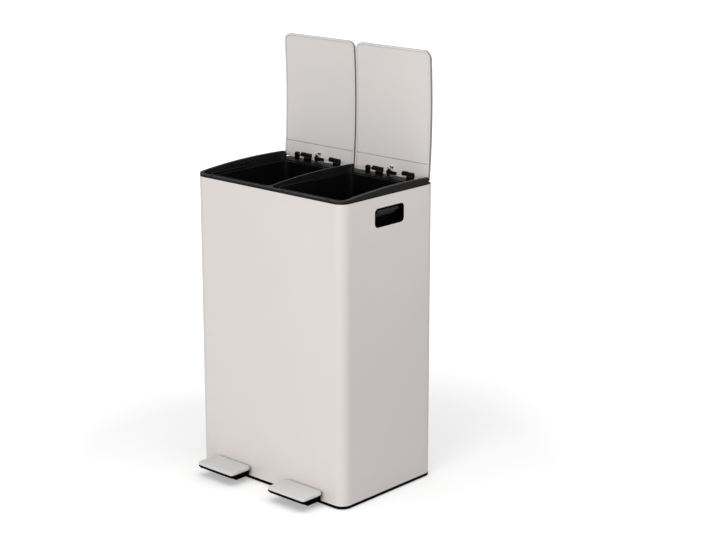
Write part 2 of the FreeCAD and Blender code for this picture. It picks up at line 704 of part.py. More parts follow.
def pedal_body(x, rod_x):
    """Moulded core of the pedal: a box under the tread that grips the lever."""
    core = prism(pedal_outline(x, PEDAL_PLATE), PEDAL_SKIRT_BOTTOM, PEDAL_TOP - PEDAL_PLATE)
    keel = prism(pedal_outline(x, PEDAL_BODY_INSET), PEDAL_BODY_BOTTOM, PEDAL_SKIRT_BOTTOM)
    ring = prism(pedal_outline(x, 0), PEDAL_SKIRT_BOTTOM, PEDAL_TOP - PEDAL_PLATE_EDGE)
    hollow = prism(pedal_outline(x, PEDAL_BODY_INSET + PLASTIC), PEDAL_BODY_BOTTOM - 1,
                   PEDAL_TOP - PEDAL_PLATE - PLASTIC)
    body = core.fuse([ring, keel]).cut(hollow)
    ribs = []
    for step in (-1, 0, 1):
        rib_x = x + step * PEDAL_WIDTH / 4
        ribs.append(box(rib_x - PLASTIC / 2, rib_x + PLASTIC / 2,
                        PEDAL_FRONT + PEDAL_BODY_INSET + PLASTIC / 2,
                        PEDAL_REAR - PEDAL_BODY_INSET - PLASTIC / 2,
                        PEDAL_BODY_BOTTOM, PEDAL_TOP - PEDAL_PLATE - PLASTIC / 2))
    half = PEDAL_WIDTH / 2 - PEDAL_SHOE_INSET
    shoe = side_prism(shoe_profile(0), x - half, x + half)
    inside = side_prism(shoe_profile(PLASTIC), x - half + PLASTIC, x + half - PLASTIC)
    grip = side_prism(shoe_profile(PLASTIC / 2), rod_x - LEVER_GRIP_WIDTH / 2,
                      rod_x + LEVER_GRIP_WIDTH / 2)
    pocket = box(rod_x - LEVER_WIDTH / 2, rod_x + LEVER_WIDTH / 2,
                 LEVER_FRONT_Y, PEDAL_REAR,
                 LEVER_FRONT_Z - LEVER_THICKNESS, LEVER_FRONT_Z)
    shoe = shoe.common(prism(pedal_outline(x, PEDAL_PLATE), 0, PEDAL_TOP))
    body = body.fuse(shoe).cut(inside).fuse(ribs + [grip])
    return body.cut(pocket).removeSplitter()


def lever_profile():
    """Side view of the lever as a strip of even thickness, as (y, z) points."""
    thick = LEVER_THICKNESS
    upper = [
        (LEVER_FRONT_Y, LEVER_FRONT_Z),
        (LEVER_CRANK_Y, LEVER_FRONT_Z),
        (LEVER_PIVOT_Y, LEVER_PIVOT_Z + thick / 2),
        (LEVER_REAR_BEND_Y, LEVER_REAR_Z),
        (ROD_Y + LEVER_TAIL, LEVER_REAR_Z),
    ]
    return upper + [(y, z - thick) for y, z in reversed(upper)]


def pedal_lever(x):
    strip = side_prism(lever_profile(), x - LEVER_WIDTH / 2, x + LEVER_WIDTH / 2)
    hub = rod(x - LEVER_WIDTH / 2, LEVER_PIVOT_Y, LEVER_PIVOT_Z, LEVER_HUB_RADIUS,
              LEVER_WIDTH, X_AXIS)
    bore = rod(x - LEVER_WIDTH, LEVER_PIVOT_Y, LEVER_PIVOT_Z,
               LEVER_PIN_RADIUS + PIN_RUNNING_FIT, 2 * LEVER_WIDTH, X_AXIS)
    return strip.fuse(hub).cut(bore).removeSplitter()


def lever_pin(x):
    half = LEVER_WIDTH / 2 + LEVER_SIDE_PLAY + LEVER_EAR
    shaft = rod(x - half, LEVER_PIVOT_Y, LEVER_PIVOT_Z, LEVER_PIN_RADIUS, 2 * half, X_AXIS)
    head = rod(x + half, LEVER_PIVOT_Y, LEVER_PIVOT_Z, LEVER_PIN_RADIUS + 1, 1, X_AXIS)
    return shaft.fuse(head).removeSplitter()


# ---------------------------------------------------------------- base
def base_screw_places():
    x = SIDE - SCREW_BOSS_INSET
    y = REAR - SCREW_BOSS_INSET
    return [(-x, -y), (x, -y), (x, y), (-x, y)]


def grip_outline():
    return casing_outline(GRIP_INSET), casing_outline(GRIP_INSET + GRIP_WIDTH)


def foot_ring():
    """Ring that shows under the casing, with a lug at each corner for its screw."""
    ring = prism(casing_outline(0), BASE_BOTTOM, CASING_BOTTOM)
    ring = ring.cut(prism(casing_outline(BASE_RING_WIDTH), 0, CASING_BOTTOM + 1))
    lug_low = CASING_BOTTOM - LUG_THICKNESS
    lugs = []
    holes = []
    for x, y in base_screw_places():
        reach_x = math.copysign(SIDE - GRIP_INSET, x)
        reach_y = math.copysign(REAR - GRIP_INSET - GRIP_WIDTH, y)
        lugs.append(box(min(x, reach_x), max(x, reach_x), y - SCREW_BOSS_RADIUS,
                        y + SCREW_BOSS_RADIUS, lug_low, CASING_BOTTOM))
        lugs.append(box(x - SCREW_BOSS_RADIUS, x + SCREW_BOSS_RADIUS, min(y, reach_y),
                        max(y, reach_y), lug_low, CASING_BOTTOM))
        lugs.append(rod(x, y, lug_low, SCREW_BOSS_RADIUS * math.sqrt(2), LUG_THICKNESS))
        holes.append(rod(x, y, 0, SCREW_RADIUS + FIT, CASING_BOTTOM + 1))
    grip_outer, grip_inner = grip_outline()
    groove = prism(grip_outer, 0, BASE_BOTTOM + GRIP_GROOVE)
    groove = groove.cut(prism(grip_inner, -1, BASE_BOTTOM + GRIP_GROOVE + 1))
    return ring.fuse(lugs).cut([groove] + holes).removeSplitter()


def base_frame():
    """Upright ring inside the foot of the casing, with a ledge that carries the floor."""
    skirt = prism(casing_outline(INNER), CASING_BOTTOM, BASE_SKIRT_TOP)
    skirt = skirt.cut(prism(casing_outline(INNER + PLASTIC), 0, BASE_SKIRT_TOP + 1))
    ledge = prism(casing_outline(INNER + PLASTIC / 2), FLOOR_UNDERSIDE - PLASTIC,
                  FLOOR_UNDERSIDE)
    ledge = ledge.cut(prism(casing_outline(INNER + PLASTIC + BASE_LEDGE), 0, TALL))
    cuts = []
    for middle in LID_MIDDLES:
        cuts.append(lever_slot(middle + ROD_X, 0, FRONT, FRONT + BASE_RING_WIDTH))
    return skirt.fuse(ledge).cut(cuts).removeSplitter()


def base_floor():
    """Floor pan: ribs below, ears for the levers, rod guides and screw bosses."""
    rim = INNER + PLASTIC + BASE_PLAY
    pieces = []
    for middle in LID_MIDDLES:
        x = middle + ROD_X
        for side in (-1, 1):
            inner = x + side * (LEVER_WIDTH / 2 + LEVER_SIDE_PLAY)
            outer = inner + side * LEVER_EAR
            x0, x1 = min(inner, outer), max(inner, outer)
            ear = rod(x0, LEVER_PIVOT_Y, LEVER_PIVOT_Z, 2 * LEVER_HUB_RADIUS, x1 - x0,
                      X_AXIS).common(box(x0, x1, FRONT, REAR,
                                         LEVER_PIVOT_Z - LEVER_HUB_RADIUS, TALL))
            web = box(x0, x1, LEVER_PIVOT_Y - 2 * LEVER_HUB_RADIUS,
                      LEVER_PIVOT_Y + 2 * LEVER_HUB_RADIUS,
                      LEVER_PIVOT_Z, BASE_FLOOR_TOP - PLASTIC / 2)
            pieces.append(ear.common(prism(casing_outline(INNER), 0,
                                           BASE_FLOOR_TOP - PLASTIC / 2)).fuse(web))
        pieces.append(rod(x, ROD_Y, BASE_FLOOR_TOP - PLASTIC / 2,
                          ROD_RADIUS + ROD_GUIDE_WALL, BASE_SKIRT_TOP - BASE_FLOOR_TOP))
    for x, y in base_screw_places():
        pieces.append(rod(x, y, CASING_BOTTOM, SCREW_BOSS_RADIUS,
                          BASE_FLOOR_TOP - PLASTIC / 2 - CASING_BOTTOM))
    rib_low = FLOOR_UNDERSIDE - RIB_HEIGHT
    for y in (-REAR + SCREW_BOSS_INSET, REAR - SCREW_BOSS_INSET - SCREW_BOSS_RADIUS * 5):
        pieces.append(box(-LID_MIDDLE + LEVER_WIDTH * 2, LID_MIDDLE - LEVER_WIDTH * 2,
                          y - PLASTIC / 2, y + PLASTIC / 2,
                          rib_low, BASE_FLOOR_TOP - PLASTIC / 2))
    reach = rim + BASE_LEDGE + BASE_PLAY
    pieces.append(box(-PLASTIC / 2, PLASTIC / 2, FRONT + reach, REAR - reach,
                      rib_low, BASE_FLOOR_TOP - PLASTIC / 2))
    body = prism(casing_outline(rim), FLOOR_UNDERSIDE, BASE_FLOOR_TOP).fuse(pieces)
    cuts = []
    for middle in LID_MIDDLES:
        x = middle + ROD_X
        cuts.append(rod(x, ROD_Y, 0, ROD_RADIUS + ROD_RUNNING_FIT, CASING_TOP / 2))
        half = LEVER_WIDTH / 2 + LEVER_SIDE_PLAY + LEVER_EAR
        cuts.append(rod(x - half - 1, LEVER_PIVOT_Y, LEVER_PIVOT_Z, LEVER_PIN_RADIUS,
                        2 * half + 2, X_AXIS))
    for x, y in base_screw_places():
        cuts.append(rod(x, y, 0, SCREW_RADIUS, FLOOR_UNDERSIDE - PLASTIC))
    return body.cut(cuts).removeSplitter()


def grip_ring():
    """Rubber ring pressed into the groove under the base; the bin stands on it."""
    outer, inner = grip_outline()
    return prism(outer, 0, GRIP_HEIGHT).cut(prism(inner, -1, GRIP_HEIGHT + 1))


def base_screws():
    """Four screws that hold the foot ring to the base frame's bosses."""
    seat = CASING_BOTTOM - LUG_THICKNESS
    screws = []
    for x, y in base_screw_places():
        shank = rod(x, y, seat - SCREW_HEAD_HEIGHT / 2, SCREW_RADIUS, FLOOR_UNDERSIDE / 2)
        head = rod(x, y, seat - SCREW_HEAD_HEIGHT, SCREW_HEAD_RADIUS, SCREW_HEAD_HEIGHT)
        screws.append(shank.fuse(head).removeSplitter())
    return Part.makeCompound(screws)


# ---------------------------------------------------------------- handle cups
def handle_cup():
    """Right-hand cup: a flange behind the sheet, walls and a back that steps forward."""
    flange = cup_profile(CUP_BEZEL, SHEET, SHEET + CUP_WALL)
    cup = cup_profile(0, 0, CUP_DEPTH)
    cavity = cup_profile(-CUP_WALL, -1, CUP_DEPTH - CUP_WALL)
    step_low = CUP_CENTRE_Z + CUP_HEIGHT / 2 - CUP_STEP_HEIGHT
    step = box(SIDE - CUP_DEPTH, SIDE - CUP_STEP_DEPTH,
               CUP_CENTRE_Y - CUP_LENGTH, CUP_CENTRE_Y + CUP_LENGTH,
               step_low, step_low + CUP_HEIGHT)
    return flange.fuse(cup).cut(cavity.cut(step)).removeSplitter()


# ---------------------------------------------------------------- buckets
def bucket_face(shrink, grow_flange=0.0):
    """Plan of the right-hand bucket's body, drawn in by shrink."""
    return outline(
        WELL_INNER + LEDGE_WIDTH + BUCKET_PLAY + shrink - grow_flange,
        WELL_OUTER - OUTER_LEDGE_WIDTH - BUCKET_PLAY - shrink + grow_flange,
        WELL_FRONT + LEDGE_WIDTH + BUCKET_PLAY + shrink - grow_flange,
        OPENING_REAR - LEDGE_WIDTH - BUCKET_PLAY - shrink + grow_flange,
        BUCKET_CORNER - shrink * 0.5,
    )


def tapered(shrink_top, shrink_bottom, z_top, z_bottom):
    wires = []
    for shrink, z in ((shrink_bottom, z_bottom), (shrink_top, z_top)):
        wire = bucket_face(shrink).OuterWire.copy()
        wire.translate(V(0, 0, z))
        wires.append(wire)
    return Part.makeLoft(wires, True, True)


def inner_bucket():
    body = tapered(0, BUCKET_TAPER, LEDGE_TOP + BUCKET_FLANGE, BUCKET_BOTTOM)
    flange = well(BUCKET_PLAY, z0=LEDGE_TOP, z1=LEDGE_TOP + BUCKET_FLANGE)
    slope = BUCKET_TAPER / (LEDGE_TOP + BUCKET_FLANGE - BUCKET_BOTTOM)
    cavity = tapered(
        BUCKET_WALL - slope, BUCKET_TAPER + BUCKET_WALL - slope * BUCKET_WALL,
        LEDGE_TOP + BUCKET_FLANGE + 1, BUCKET_BOTTOM + BUCKET_WALL,
    )
    body = body.fuse(flange).cut(cavity)
    ears = []
    for x in bail_sides():
        y = BAIL_Y
        ears.append(box(x - BAIL_EAR_WIDTH / 2, x + BAIL_EAR_WIDTH / 2,
                        y - BAIL_EAR_LENGTH / 2, y + BAIL_EAR_LENGTH / 2,
                        LEDGE_TOP + BUCKET_FLANGE - 1,
                        LEDGE_TOP + BUCKET_FLANGE + BAIL_EAR_HEIGHT))
    body = body.fuse(ears)
    bore = rod(0, BAIL_Y, BAIL_Z, BAIL_PIN_RADIUS + PIN_RUNNING_FIT, SIDE, X_AXIS)
    return body.cut(bore).removeSplitter()


def bail_sides():
    """X of the two ears that carry the bail."""
    return (WELL_INNER + BUCKET_PLAY + BAIL_EAR_WIDTH / 2,
            WELL_OUTER - BUCKET_PLAY - BAIL_EAR_WIDTH / 2)


BAIL_Y = (WELL_FRONT + OPENING_REAR) / 2
BAIL_Z = LEDGE_TOP + BUCKET_FLANGE + BAIL_LIFT


def bucket_bail():
    """Wire handle folded flat on the bucket's rim, pointing to the front."""
    left, right = bail_sides()
    x0 = left + BAIL_EAR_WIDTH / 2 + FIT + BAIL_RADIUS
    x1 = right - BAIL_EAR_WIDTH / 2 - FIT - BAIL_RADIUS
    y0 = WELL_FRONT + BUCKET_PLAY + BAIL_INSET
    z = BAIL_Z
    bend = BAIL_BEND
    end_y = BAIL_Y + BAIL_RADIUS + BAIL_OVERRUN
    turn = bend * (1 - math.sqrt(0.5))
    points = [
        V(x0, end_y, z), V(x0, y0 + bend, z),
        V(x0 + turn, y0 + turn, z), V(x0 + bend, y0, z),
        V(x1 - bend, y0, z), V(x1 - turn, y0 + turn, z),
        V(x1, y0 + bend, z), V(x1, end_y, z),
    ]
    path = Part.Wire([
        Part.LineSegment(points[0], points[1]).toShape(),
        Part.Arc(points[1], points[2], points[3]).toShape(),
        Part.LineSegment(points[3], points[4]).toShape(),
        Part.Arc(points[4], points[5], points[6]).toShape(),
        Part.LineSegment(points[6], points[7]).toShape(),
    ])
    ring = Part.Wire([Part.makeCircle(BAIL_RADIUS, points[0], V(0, -1, 0))])
    wire = path.makePipeShell([ring], True, False)
    ends = [
        rod(left - BAIL_EAR_WIDTH / 2, BAIL_Y, z, BAIL_PIN_RADIUS,
            x0 - left + BAIL_EAR_WIDTH / 2, X_AXIS),
        rod(x1, BAIL_Y, z, BAIL_PIN_RADIUS, right + BAIL_EAR_WIDTH / 2 - x1, X_AXIS),
    ]
    return fused([wire] + ends)


# ---------------------------------------------------------------- the two halves
LID_MIDDLES = (-LID_MIDDLE, LID_MIDDLE)
SIDES = (("left", -1), ("right", 1))


def main():
    os.makedirs("parts", exist_ok=True)
    export("outer_casing", outer_casing())
    export("top_frame", top_frame())
    export("base_frame", base_frame())
    export("base_floor", base_floor())
    export("foot_ring", foot_ring())
    export("grip_ring", grip_ring())
    export("base_screws", base_screws())
    export("lid_buffers", lid_buffers())
    cup = handle_cup()
    bucket = inner_bucket()
    bail = bucket_bail()
    for side, sign in SIDES:
        middle = sign * LID_MIDDLE
        lever_x = middle + ROD_X
        pedal_x = sign * PEDAL_SPACING / 2
        export("handle_cup_" + side, cup if sign > 0 else mirrored(cup))
        export("inner_bucket_" + side, bucket if sign > 0 else mirrored(bucket))
        export("bucket_bail_" + side, bail if sign > 0 else mirrored(bail))
        export("damper_" + side, damper(middle))
        export("hinge_pins_" + side, hinge_pins(middle))
        export("lid_skin_" + side, lid_skin(middle))
        export("lid_liner_" + side, lid_liner(middle))
        export("hinge_rail_" + side, hinge_rail(middle))
        export("lid_knuckles_" + side, lid_knuckles(middle))
        export("lifter_arm_" + side, lifter_arm(middle))
        export("arm_rivets_" + side, arm_rivets(middle))
        export("push_rod_" + side, push_rod(middle))
        export("rod_tip_" + side, rod_tip(middle))
        export("rod_foot_" + side, rod_foot(middle))
        export("pedal_cover_" + side, pedal_cover(pedal_x))
        export("pedal_body_" + side, pedal_body(pedal_x, lever_x))
        export("pedal_lever_" + side, pedal_lever(lever_x))
        export("lever_pin_" + side, lever_pin(lever_x))
    print("push rod travel", round(ROD_TRAVEL, 3), "pedal swing", round(PEDAL_SWING, 4))


main()
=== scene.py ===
import math

import bpy
from mathutils import Matrix, Vector

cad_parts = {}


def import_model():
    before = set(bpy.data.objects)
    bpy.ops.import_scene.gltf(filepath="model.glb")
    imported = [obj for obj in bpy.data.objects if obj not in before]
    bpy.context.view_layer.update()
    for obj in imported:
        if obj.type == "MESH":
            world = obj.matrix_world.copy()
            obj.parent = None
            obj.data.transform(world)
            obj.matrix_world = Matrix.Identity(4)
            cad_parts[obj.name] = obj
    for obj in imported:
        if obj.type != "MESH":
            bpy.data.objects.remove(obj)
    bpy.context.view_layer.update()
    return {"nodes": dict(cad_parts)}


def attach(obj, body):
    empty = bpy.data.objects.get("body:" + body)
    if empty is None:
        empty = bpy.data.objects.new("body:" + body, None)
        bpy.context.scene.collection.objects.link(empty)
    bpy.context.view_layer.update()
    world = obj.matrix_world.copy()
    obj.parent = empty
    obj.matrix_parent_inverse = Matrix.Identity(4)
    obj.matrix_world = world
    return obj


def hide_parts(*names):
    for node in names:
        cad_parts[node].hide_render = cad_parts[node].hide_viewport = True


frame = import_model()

MM = 0.001
SCENE = bpy.context.scene
NODES = frame["nodes"]
SIDES = (("left", -1), ("right", 1))

# ---------------------------------------------------------------- the photograph's view
PHOTO_WIDTH = 716
PHOTO_FOCAL_PIXELS = 1802.3
SENSOR_WIDTH = 36.0
CAMERA_PLACE = (2.4887, -2.6084, 1.4191)
CAMERA_YAW = 42.237
CAMERA_PITCH = 15.237

# ---------------------------------------------------------------- colours
PAINT = (0.735, 0.688, 0.668)
LID_PAINT = (0.735, 0.70, 0.676)
# Painted shade for the lid pans, where their surface turns away from the Y direction.
LID_EDGE_SHADE = (0.27, 0.26, 0.275)
PEDAL_PAINT = (0.66, 0.655, 0.64)
FRAME_BLACK = (0.006, 0.006, 0.006)
HINGE_BLACK = (0.002, 0.002, 0.002)
BUCKET_BLACK = (0.002, 0.002, 0.002)
BASE_BLACK = (0.0008, 0.0008, 0.0008)
RUBBER_BLACK = (0.002, 0.002, 0.002)
STEEL = (0.62, 0.62, 0.63)
# Painted light: the lighter grey of the band near the top of the handle cups.
CUP_PAINTED_LIGHT = (0.05, 0.05, 0.052)

# ---------------------------------------------------------------- shader groups
NOISE_SPAN = (0.3, 0.7)
COAT_DRIFT_SCALE = 6.0
COAT_ROUGHNESS = (0.38, 0.46)
GRAIN_DRIFT_SCALE = 25.0
GRAIN_DRIFT_SPAN = (0.35, 0.75)
GRAIN_TONES = (0.9, 1.25)
STREAK_SCALE = 2500.0
STREAK_STRETCH = (0.04, 1.0, 1.0)
STREAK_ROUGHNESS = 0.2
STREAK_TONES = (0.9, 1.05)
# How far a surface turns from the Y direction before the painted edge shade sets in.
EDGE_TURN = (0.45, 0.92)
FINISH_OUTPUTS = [
    ("Color", "NodeSocketColor"),
    ("Roughness", "NodeSocketFloat"),
    ("Height", "NodeSocketFloat"),
]


def new_group(name, inputs, outputs):
    group = bpy.data.node_groups.new(name, "ShaderNodeTree")
    for label, kind, value in inputs:
        socket = group.interface.new_socket(label, in_out="INPUT", socket_type=kind)
        socket.default_value = value
    for label, kind in outputs:
        group.interface.new_socket(label, in_out="OUTPUT", socket_type=kind)
    start = group.nodes.new("NodeGroupInput")
    end = group.nodes.new("NodeGroupOutput")
    return group, start, end


def wire(group, source, target):
    group.links.new(source, target)


def piece_coords(group):
    return group.nodes.new("ShaderNodeTexCoord").outputs["Object"]


def noise_node(group, coords, scale, detail):
    node = group.nodes.new("ShaderNodeTexNoise")
    node.inputs["Detail"].default_value = detail
    if isinstance(scale, (int, float)):
        node.inputs["Scale"].default_value = scale
    else:
        wire(group, scale, node.inputs["Scale"])
    wire(group, coords, node.inputs["Vector"])
    return node


def range_node(group, value, span, result):
    """Carries a value from one span to another, held at both ends."""
    node = group.nodes.new("ShaderNodeMapRange")
    node.inputs["From Min"].default_value, node.inputs["From Max"].default_value = span
    node.inputs["To Min"].default_value, node.inputs["To Max"].default_value = result
    wire(group, value, node.inputs["Value"])
    return node


def scaled_colour(group, colour, factor):
    shade = group.nodes.new("ShaderNodeVectorMath")
    shade.operation = "SCALE"
    wire(group, colour, shade.inputs[0])
    wire(group, factor, shade.inputs["Scale"])
    return shade.outputs[0]


def blended_colour(group, share, first, second):
    mix = group.nodes.new("ShaderNodeMix")
    mix.data_type = "RGBA"
    colours = [socket for socket in mix.inputs if socket.type == "RGBA"]
    wire(group, share, mix.inputs["Factor"])
    wire(group, first, colours[0])
    wire(group, second, colours[1])
    return next(socket for socket in mix.outputs if socket.type == "RGBA")


def coating_group():
    """Powder coat: orange peel and a slight drift in tone and in gloss."""
    group, start, end = new_group(
        "powder_coat",
        [
            ("Color", "NodeSocketColor", (0.7, 0.7, 0.7, 1.0)),
            ("Peel Scale", "NodeSocketFloat", 900.0),
            ("Drift", "NodeSocketFloat", 0.03),
        ],
        FINISH_OUTPUTS,
    )
    coords = piece_coords(group)
    drift = noise_node(group, coords, COAT_DRIFT_SCALE, detail=4.0)
    tone = range_node(group, drift.outputs["Fac"], NOISE_SPAN, (-1.0, 1.0))
    amount = group.nodes.new("ShaderNodeMath")
    amount.operation = "MULTIPLY_ADD"
    wire(group, tone.outputs["Result"], amount.inputs[0])
    wire(group, start.outputs["Drift"], amount.inputs[1])
    amount.inputs[2].default_value = 1.0
    shade = scaled_colour(group, start.outputs["Color"], amount.outputs[0])
    wire(group, shade, end.inputs["Color"])
    peel = noise_node(group, coords, start.outputs["Peel Scale"], detail=2.0)
    gloss = range_node(group, drift.outputs["Fac"], NOISE_SPAN, COAT_ROUGHNESS)
    wire(group, gloss.outputs["Result"], end.inputs["Roughness"])
    wire(group, peel.outputs["Fac"], end.inputs["Height"])
    return group


def grain_group():
    """Spark-eroded grain of moulded plastic, with lighter rubbed spots."""
    group, start, end = new_group(
        "moulded_grain",
        [
            ("Color", "NodeSocketColor", (0.02, 0.02, 0.02, 1.0)),
            ("Grain Scale", "NodeSocketFloat", 1800.0),
            ("Low Roughness", "NodeSocketFloat", 0.4),
            ("High Roughness", "NodeSocketFloat", 0.55),
        ],
        FINISH_OUTPUTS,
    )
    coords = piece_coords(group)
    cells = group.nodes.new("ShaderNodeTexVoronoi")
    wire(group, coords, cells.inputs["Vector"])
    wire(group, start.outputs["Grain Scale"], cells.inputs["Scale"])
    drift = noise_node(group, coords, GRAIN_DRIFT_SCALE, detail=5.0)
    mix = group.nodes.new("ShaderNodeMix")
    mix.data_type = "FLOAT"
    wire(group, drift.outputs["Fac"], mix.inputs["Factor"])
    wire(group, start.outputs["Low Roughness"], mix.inputs["A"])
    wire(group, start.outputs["High Roughness"], mix.inputs["B"])
    wire(group, mix.outputs["Result"], end.inputs["Roughness"])
    tone = range_node(group, drift.outputs["Fac"], GRAIN_DRIFT_SPAN, GRAIN_TONES)
    shade = scaled_colour(group, start.outputs["Color"], tone.outputs["Result"])
    wire(group, shade, end.inputs["Color"])
    wire(group, cells.outputs["Distance"], end.inputs["Height"])
    return group


def brushed_group():
    """Drawn or brushed steel: streaks along X and a slight drift in tone."""
    group, start, end = new_group(
        "drawn_steel",
        [
            ("Color", "NodeSocketColor", (0.6, 0.6, 0.6, 1.0)),
            ("Roughness", "NodeSocketFloat", 0.3),
        ],
        FINISH_OUTPUTS,
    )
    stretch = group.nodes.new("ShaderNodeMapping")
    stretch.inputs["Scale"].default_value = STREAK_STRETCH
    wire(group, piece_coords(group), stretch.inputs["Vector"])
    streaks = noise_node(group, stretch.outputs[0], STREAK_SCALE, detail=2.0)
    rough = group.nodes.new("ShaderNodeMath")
    rough.operation = "MULTIPLY_ADD"
    wire(group, streaks.outputs["Fac"], rough.inputs[0])
    rough.inputs[1].default_value = STREAK_ROUGHNESS
    wire(group, start.outputs["Roughness"], rough.inputs[2])
    wire(group, rough.outputs[0], end.inputs["Roughness"])
    tone = range_node(group, streaks.outputs["Fac"], NOISE_SPAN, STREAK_TONES)
    shade = scaled_colour(group, start.outputs["Color"], tone.outputs["Result"])
    wire(group, shade, end.inputs["Color"])
    wire(group, streaks.outputs["Fac"], end.inputs["Height"])
    return group


def fade_group():
    """Fades from one colour to another along one axis of the piece."""
    group, start, end = new_group(
        "fade",
        [
            ("Near", "NodeSocketColor", (0.0, 0.0, 0.0, 1.0)),
            ("Far", "NodeSocketColor", (1.0, 1.0, 1.0, 1.0)),
            ("Axis", "NodeSocketVector", (0.0, 0.0, 1.0)),
            ("From", "NodeSocketFloat", 0.0),
            ("To", "NodeSocketFloat", 1.0),
        ],
        [("Color", "NodeSocketColor")],
    )
    along = group.nodes.new("ShaderNodeVectorMath")
    along.operation = "DOT_PRODUCT"
    wire(group, piece_coords(group), along.inputs[0])
    wire(group, start.outputs["Axis"], along.inputs[1])
    share = group.nodes.new("ShaderNodeMapRange")
    wire(group, along.outputs["Value"], share.inputs["Value"])
    wire(group, start.outputs["From"], share.inputs["From Min"])
    wire(group, start.outputs["To"], share.inputs["From Max"])
    colour = blended_colour(group, share.outputs["Result"], start.outputs["Near"],
                            start.outputs["Far"])
    wire(group, colour, end.inputs["Color"])
    return group


def edge_shade_group():
    """Painted shade: another colour where the piece's surface turns away from the Y
    direction.
    """
    group, start, end = new_group(
        "edge_painted_shade",
        [
            ("Face", "NodeSocketColor", (0.7, 0.7, 0.7, 1.0)),
            ("Edge", "NodeSocketColor", (0.4, 0.4, 0.4, 1.0)),
        ],
        [("Color", "NodeSocketColor")],
    )
    normal = group.nodes.new("ShaderNodeTexCoord").outputs["Normal"]
    parts = group.nodes.new("ShaderNodeSeparateXYZ")
    wire(group, normal, parts.inputs[0])
    size = group.nodes.new("ShaderNodeMath")
    size.operation = "ABSOLUTE"
    wire(group, parts.outputs["Y"], size.inputs[0])
    share = range_node(group, size.outputs[0], EDGE_TURN, (1.0, 0.0))
    colour = blended_colour(group, share.outputs["Result"], start.outputs["Face"],
                            start.outputs["Edge"])
    wire(group, colour, end.inputs["Color"])
    return group


COATING = coating_group()
GRAIN = grain_group()
FADE = fade_group()
EDGE = edge_shade_group()
BRUSHED = brushed_group()

# ---------------------------------------------------------------- materials
SHEET_DRIFT = 0.012
# The band set out below is painted light on the upper back of the handle cups, near the
# opening.
CUP_BAND_X = 0.1985
CUP_BAND_Y = (-0.029, 0.034)
CUP_BAND_Z = (0.5855, 0.5998)
CUP_BLEND = 0.0012
DIP_LINE = 0.6433
DIP_BLEND = 0.0002


def opaque(colour):
    return (*colour, 1.0)


def finish(name, group, color, bump, distance, metallic=0.0, specular=0.5, **values):
    """A material whose colour, roughness and bump come from one shared group."""
    material = bpy.data.materials.new(name)
    material.use_nodes = True
    tree = material.node_tree
    shader = tree.nodes["Principled BSDF"]
    shader.inputs["Metallic"].default_value = metallic
    shader.inputs["Specular IOR Level"].default_value = specular
    effect = tree.nodes.new("ShaderNodeGroup")
    effect.name = "effect"
    effect.node_tree = group
    effect.inputs["Color"].default_value = opaque(color)
    for label, value in values.items():
        effect.inputs[label.replace("_", " ").title()].default_value = value
    wire(tree, effect.outputs["Color"], shader.inputs["Base Color"])
    wire(tree, effect.outputs["Roughness"], shader.inputs["Roughness"])
    relief = tree.nodes.new("ShaderNodeBump")
    relief.inputs["Strength"].default_value = bump
    relief.inputs["Distance"].default_value = distance
    wire(tree, effect.outputs["Height"], relief.inputs["Height"])
    wire(tree, relief.outputs["Normal"], shader.inputs["Normal"])
    return material


def faded(material, near, far, axis, start, stop, source=None):
    """Puts a fade between two colours in front of a finish's own colour effect."""
    tree = material.node_tree
    fade = tree.nodes.new("ShaderNodeGroup")
    fade.node_tree = FADE
    fade.inputs["Near"].default_value = opaque(near)
    fade.inputs["Far"].default_value = opaque(far)
    fade.inputs["Axis"].default_value = axis
    fade.inputs["From"].default_value = start
    fade.inputs["To"].default_value = stop
    if source:
        wire(tree, source, fade.inputs["Near"])
    wire(tree, fade.outputs["Color"], tree.nodes["effect"].inputs["Color"])
    return fade.outputs["Color"]


def cup_painted_light_finish(sign):
    """Black cup with painted light: a lighter band across the upper part of its back, near
    the opening, where more light reaches in.
    """
    material = finish("cup_plastic", GRAIN, BASE_BLACK, bump=0.3, distance=0.00004,
                      specular=0.04, low_roughness=0.4, high_roughness=0.5)
    y_low, y_high = CUP_BAND_Y
    z_low, z_high = CUP_BAND_Z
    edges = [((0, 0, 1), z_low, False), ((0, 0, 1), z_high, True),
             ((0, 1, 0), y_high, True), ((0, -1, 0), -y_low, True),
             ((sign, 0, 0), CUP_BAND_X, True)]
    colour = None
    for axis, place, beyond in edges:
        near, far = (CUP_PAINTED_LIGHT, BASE_BLACK) if beyond else (BASE_BLACK, CUP_PAINTED_LIGHT)
        colour = faded(material, near, far, axis, place - CUP_BLEND / 2,
                       place + CUP_BLEND / 2, colour)
    return material


def shaded_edge_finish(name, face, edge):
    """Sheet paint with painted shade: darker where the surface turns away from the Y
    direction, as along the rolled edge.
    """
    material = finish(name, COATING, face, bump=0.25, distance=0.00004,
                      drift=SHEET_DRIFT)
    tree = material.node_tree
    tone = tree.nodes.new("ShaderNodeGroup")
    tone.node_tree = EDGE
    tone.inputs["Face"].default_value = opaque(face)
    tone.inputs["Edge"].default_value = opaque(edge)
    wire(tree, tone.outputs["Color"], tree.nodes["effect"].inputs["Color"])
    return material


